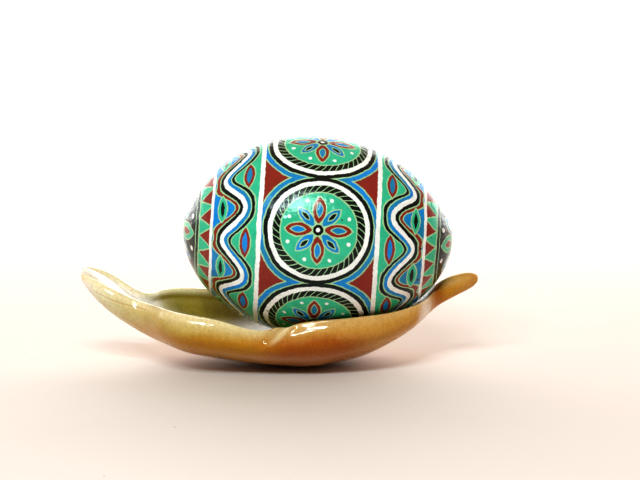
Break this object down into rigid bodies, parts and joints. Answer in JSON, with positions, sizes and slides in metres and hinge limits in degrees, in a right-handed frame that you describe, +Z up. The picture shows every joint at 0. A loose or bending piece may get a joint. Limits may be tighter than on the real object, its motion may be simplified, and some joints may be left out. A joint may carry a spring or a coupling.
{
  "type": "decorated egg",
  "caption": "Dyed and varnished hen's egg lying on its side in a small leaf-shaped glazed dish with a drip tip, a stalk and a flat foot.",
  "frame": {"origin": "on the table, under the middle of the whole object's box", "axes": "+X along the leaf from its drip tip to its stalk, +Z up; the viewer stands on the -Y side"},
  "size_m": [0.0858, 0.0434, 0.05],
  "materials": {
    "dyed_eggshell": "gloss",
    "ochre_glaze": "gloss"
  },
  "bodies": {
    "root": {"egg": "dyed_eggshell", "leaf_dish": "ochre_glaze"}
  },
  "joints": []
}
